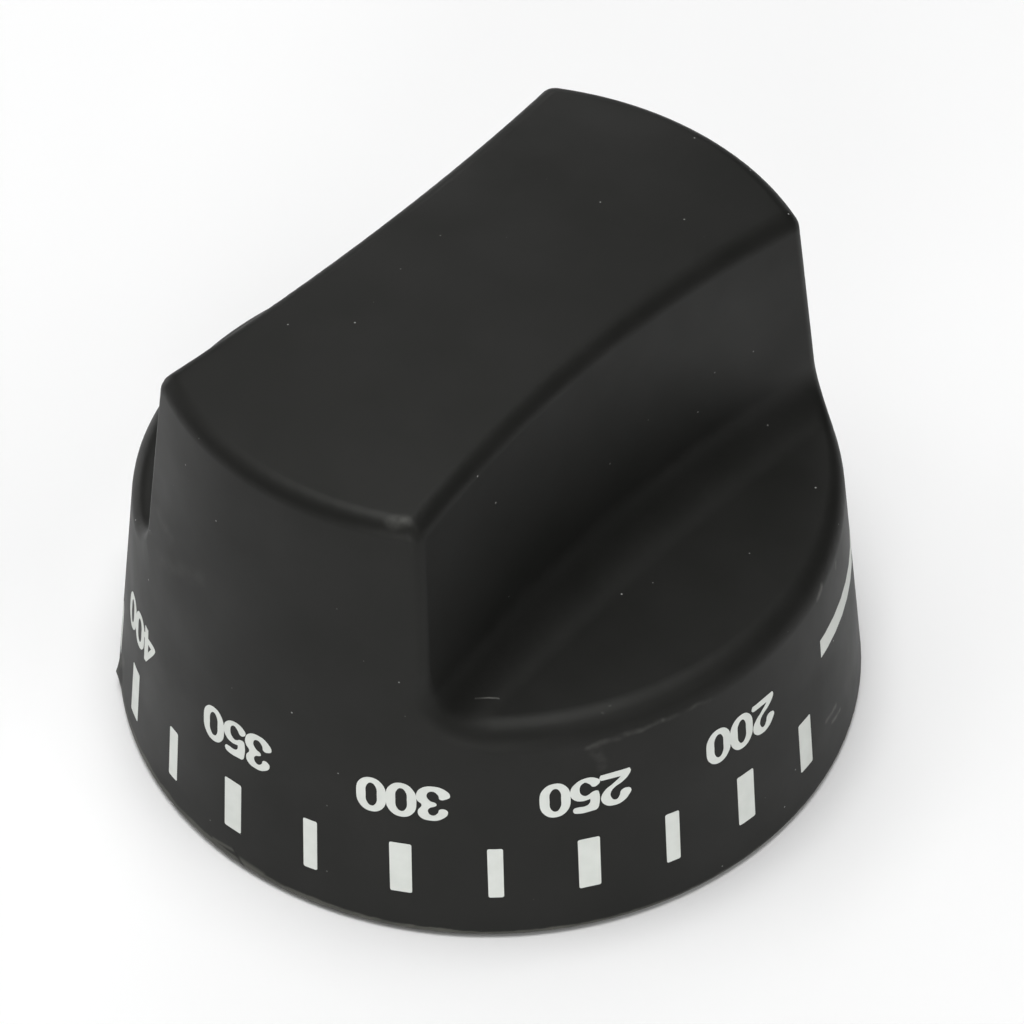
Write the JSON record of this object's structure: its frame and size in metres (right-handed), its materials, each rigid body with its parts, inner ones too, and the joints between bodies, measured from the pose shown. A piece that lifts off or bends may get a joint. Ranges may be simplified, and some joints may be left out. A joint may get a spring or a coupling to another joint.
{
  "type": "oven control knob",
  "caption": "Black bar-grip oven control knob with a drafted round skirt, a printed temperature scale, a hollow ribbed back and a D-shaped stem socket with a spring clip.",
  "frame": {"origin": "on the stem axis, in the plane of the rim that faces the appliance panel", "axes": "+Z along the stem axis, away from the panel, towards the top of the grip; the grip bar runs along Y, and the flat of the stem socket faces -X"},
  "size_m": [0.0628, 0.0628, 0.0419],
  "materials": {
    "black_phenolic": "satin moulded thermoset, near black",
    "spring_steel": "plain spring steel strip"
  },
  "bodies": {
    "root": {"knob_body": "black_phenolic", "spring_clip": "spring_steel"}
  },
  "joints": []
}
